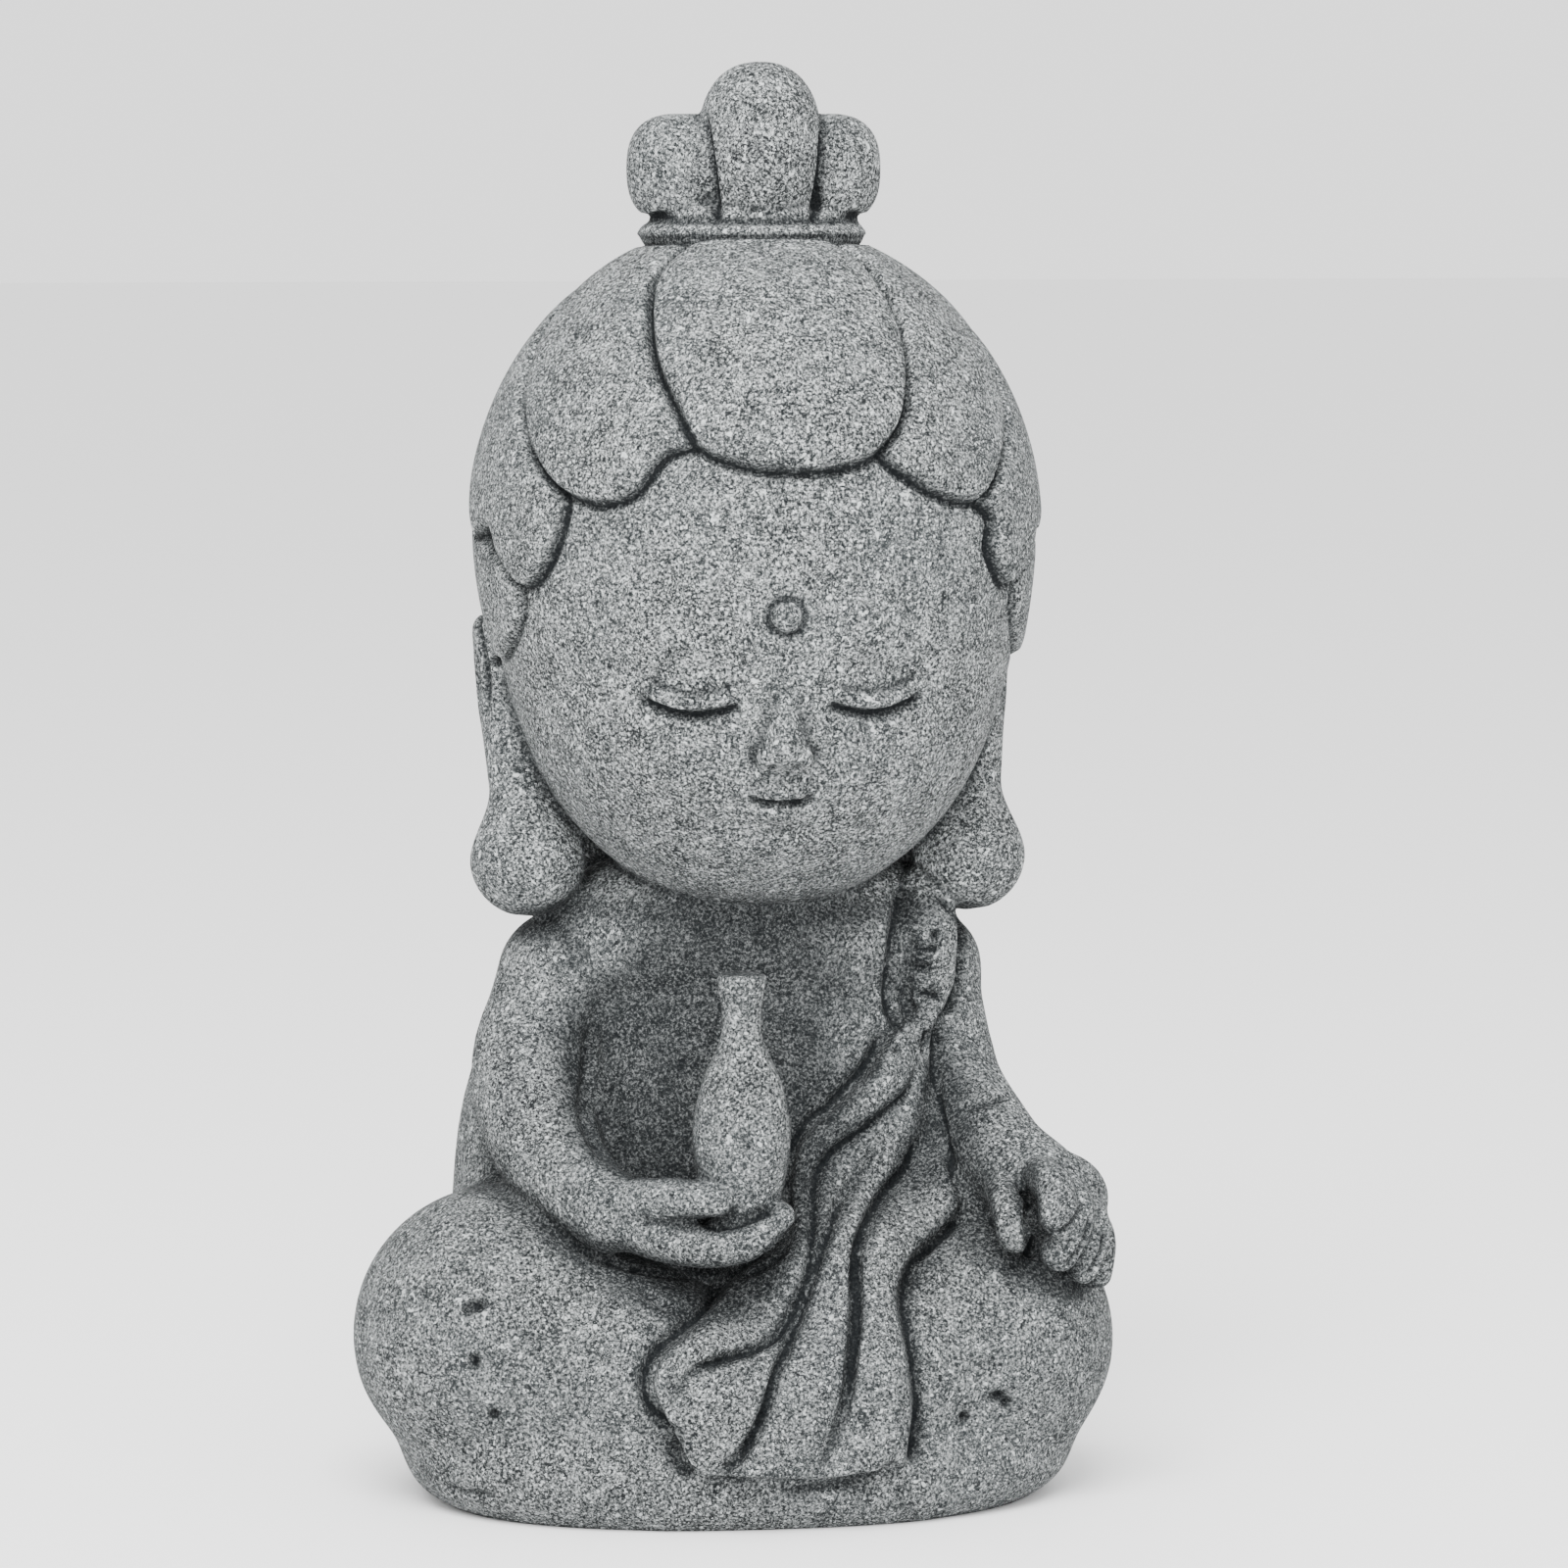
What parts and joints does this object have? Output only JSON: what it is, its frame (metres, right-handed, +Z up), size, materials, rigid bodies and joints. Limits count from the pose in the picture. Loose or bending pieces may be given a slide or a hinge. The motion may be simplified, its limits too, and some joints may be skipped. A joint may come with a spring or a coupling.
{
  "type": "guanyin statue",
  "caption": "Small seated guanyin figurine cast in speckled stone-look composite, round-headed, holding a slender vase, robe in folds over crossed legs, flat underside.",
  "frame": {"origin": "middle of the flat underside's bounding box, at the height it stands on", "axes": "+Z up the figure, -Y the way it faces, +X towards the figure's left hand"},
  "size_m": [0.0696, 0.0504, 0.13],
  "materials": {
    "stone": "matt speckled grey stone-powder composite, dark in the grooves"
  },
  "bodies": {
    "root": {"guanyin_statue": "stone"}
  },
  "joints": []
}
